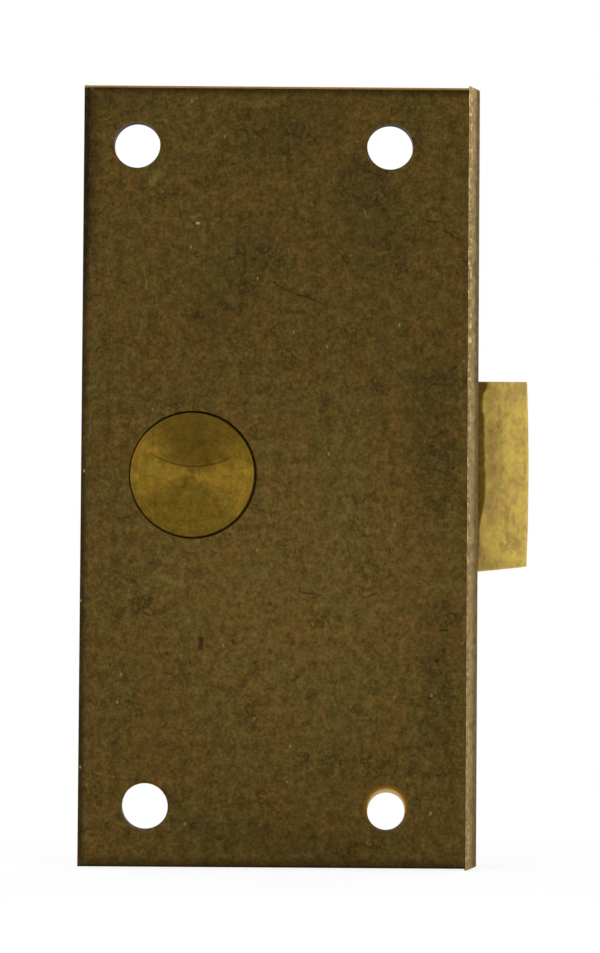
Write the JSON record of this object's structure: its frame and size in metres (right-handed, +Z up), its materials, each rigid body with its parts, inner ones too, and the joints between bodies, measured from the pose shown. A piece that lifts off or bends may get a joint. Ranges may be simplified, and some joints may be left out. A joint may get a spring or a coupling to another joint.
{
  "type": "half-mortise cylinder deadlock",
  "caption": "Half-mortise deadlock: flat back plate with forend, square thrown bolt, flush turned disc, and a small case behind with a pin-tumbler cylinder nose.",
  "frame": {"origin": "on the plug's axis, on the exposed face of the back plate", "axes": "+X the way the bolt is thrown, +Y into the door, +Z up"},
  "size_m": [0.0583, 0.035, 0.102],
  "materials": {
    "tarnished_bronze": "dark brown-olive tarnish with fine grain, small bright specks and hairline scratches",
    "worn_bronze": "half-worn tarnish, bright along the handled edge",
    "bright_brass": "bare yellow brass, mottled, with grime where it leaves the forend",
    "turned_brass": "lathe-turned olive-yellow brass with concentric tool marks",
    "cast_brass": "sand-cast and filed, dull brown-yellow",
    "screw_steel": "plain turned steel, slightly darkened",
    "spring_steel": "dark drawn spring steel"
  },
  "bodies": {
    "case": {"back_plate": "tarnished_bronze", "forend": "worn_bronze", "forend_screws": "cast_brass", "case_shell": "cast_brass", "case_pillars": "cast_brass", "case_screws": "screw_steel", "guide_posts": "screw_steel", "guide_washers": "cast_brass", "bow_spring": "spring_steel", "spring_posts": "screw_steel", "cylinder_body": "turned_brass", "cylinder_screws": "screw_steel", "chamber_cover": "turned_brass", "pin_spring_1": "spring_steel", "pin_spring_2": "spring_steel", "pin_spring_3": "spring_steel", "pin_spring_4": "spring_steel", "pin_spring_5": "spring_steel"},
    "bolt": {"bolt": "bright_brass"},
    "plug": {"plug": "turned_brass", "cam_disc": "turned_brass", "crank_pin": "screw_steel", "plug_clip": "spring_steel"},
    "key_pin_1": {"key_pin_1": "turned_brass"},
    "key_pin_2": {"key_pin_2": "turned_brass"},
    "key_pin_3": {"key_pin_3": "turned_brass"},
    "key_pin_4": {"key_pin_4": "turned_brass"},
    "key_pin_5": {"key_pin_5": "turned_brass"},
    "driver_pin_1": {"driver_pin_1": "screw_steel"},
    "driver_pin_2": {"driver_pin_2": "screw_steel"},
    "driver_pin_3": {"driver_pin_3": "screw_steel"},
    "driver_pin_4": {"driver_pin_4": "screw_steel"},
    "driver_pin_5": {"driver_pin_5": "screw_steel"}
  },
  "joints": [
    {"name": "bolt_retract", "type": "slide", "parent": "case", "child": "bolt", "axis": [-1, 0, 0], "range_m": [0, 0.00675]},
    {"name": "plug_turn", "type": "hinge", "parent": "case", "child": "plug", "pos_m": [0, 0, 0], "axis": [0, -1, 0], "range_deg": [0, 90]},
    {"name": "driver_pin_1_drop", "type": "slide", "parent": "case", "child": "driver_pin_1", "axis": [0, 0, 1], "range_m": [-0.00128, 0], "deforming": ["pin_spring_1"]},
    {"name": "key_pin_1_drop", "type": "slide", "parent": "plug", "child": "key_pin_1", "axis": [0, 0, 1], "range_m": [-0.00128, 0]},
    {"name": "driver_pin_2_drop", "type": "slide", "parent": "case", "child": "driver_pin_2", "axis": [0, 0, 1], "range_m": [-0.00208, 0], "deforming": ["pin_spring_2"]},
    {"name": "key_pin_2_drop", "type": "slide", "parent": "plug", "child": "key_pin_2", "axis": [0, 0, 1], "range_m": [-0.00208, 0]},
    {"name": "driver_pin_3_drop", "type": "slide", "parent": "case", "child": "driver_pin_3", "axis": [0, 0, 1], "range_m": [-0.00158, 0], "deforming": ["pin_spring_3"]},
    {"name": "key_pin_3_drop", "type": "slide", "parent": "plug", "child": "key_pin_3", "axis": [0, 0, 1], "range_m": [-0.00158, 0]},
    {"name": "driver_pin_4_drop", "type": "slide", "parent": "case", "child": "driver_pin_4", "axis": [0, 0, 1], "range_m": [-0.00268, 0], "deforming": ["pin_spring_4"]},
    {"name": "key_pin_4_drop", "type": "slide", "parent": "plug", "child": "key_pin_4", "axis": [0, 0, 1], "range_m": [-0.00268, 0]},
    {"name": "driver_pin_5_drop", "type": "slide", "parent": "case", "child": "driver_pin_5", "axis": [0, 0, 1], "range_m": [-0.00188, 0], "deforming": ["pin_spring_5"]},
    {"name": "key_pin_5_drop", "type": "slide", "parent": "plug", "child": "key_pin_5", "axis": [0, 0, 1], "range_m": [-0.00188, 0]}
  ],
  "couplings": [
    {"joint": "plug_turn", "follows": "bolt_retract", "rad_per_m": 232.71},
    {"joint": "key_pin_1_drop", "follows": "driver_pin_1_drop", "ratio": 1},
    {"joint": "key_pin_2_drop", "follows": "driver_pin_2_drop", "ratio": 1},
    {"joint": "key_pin_3_drop", "follows": "driver_pin_3_drop", "ratio": 1},
    {"joint": "key_pin_4_drop", "follows": "driver_pin_4_drop", "ratio": 1},
    {"joint": "key_pin_5_drop", "follows": "driver_pin_5_drop", "ratio": 1}
  ]
}
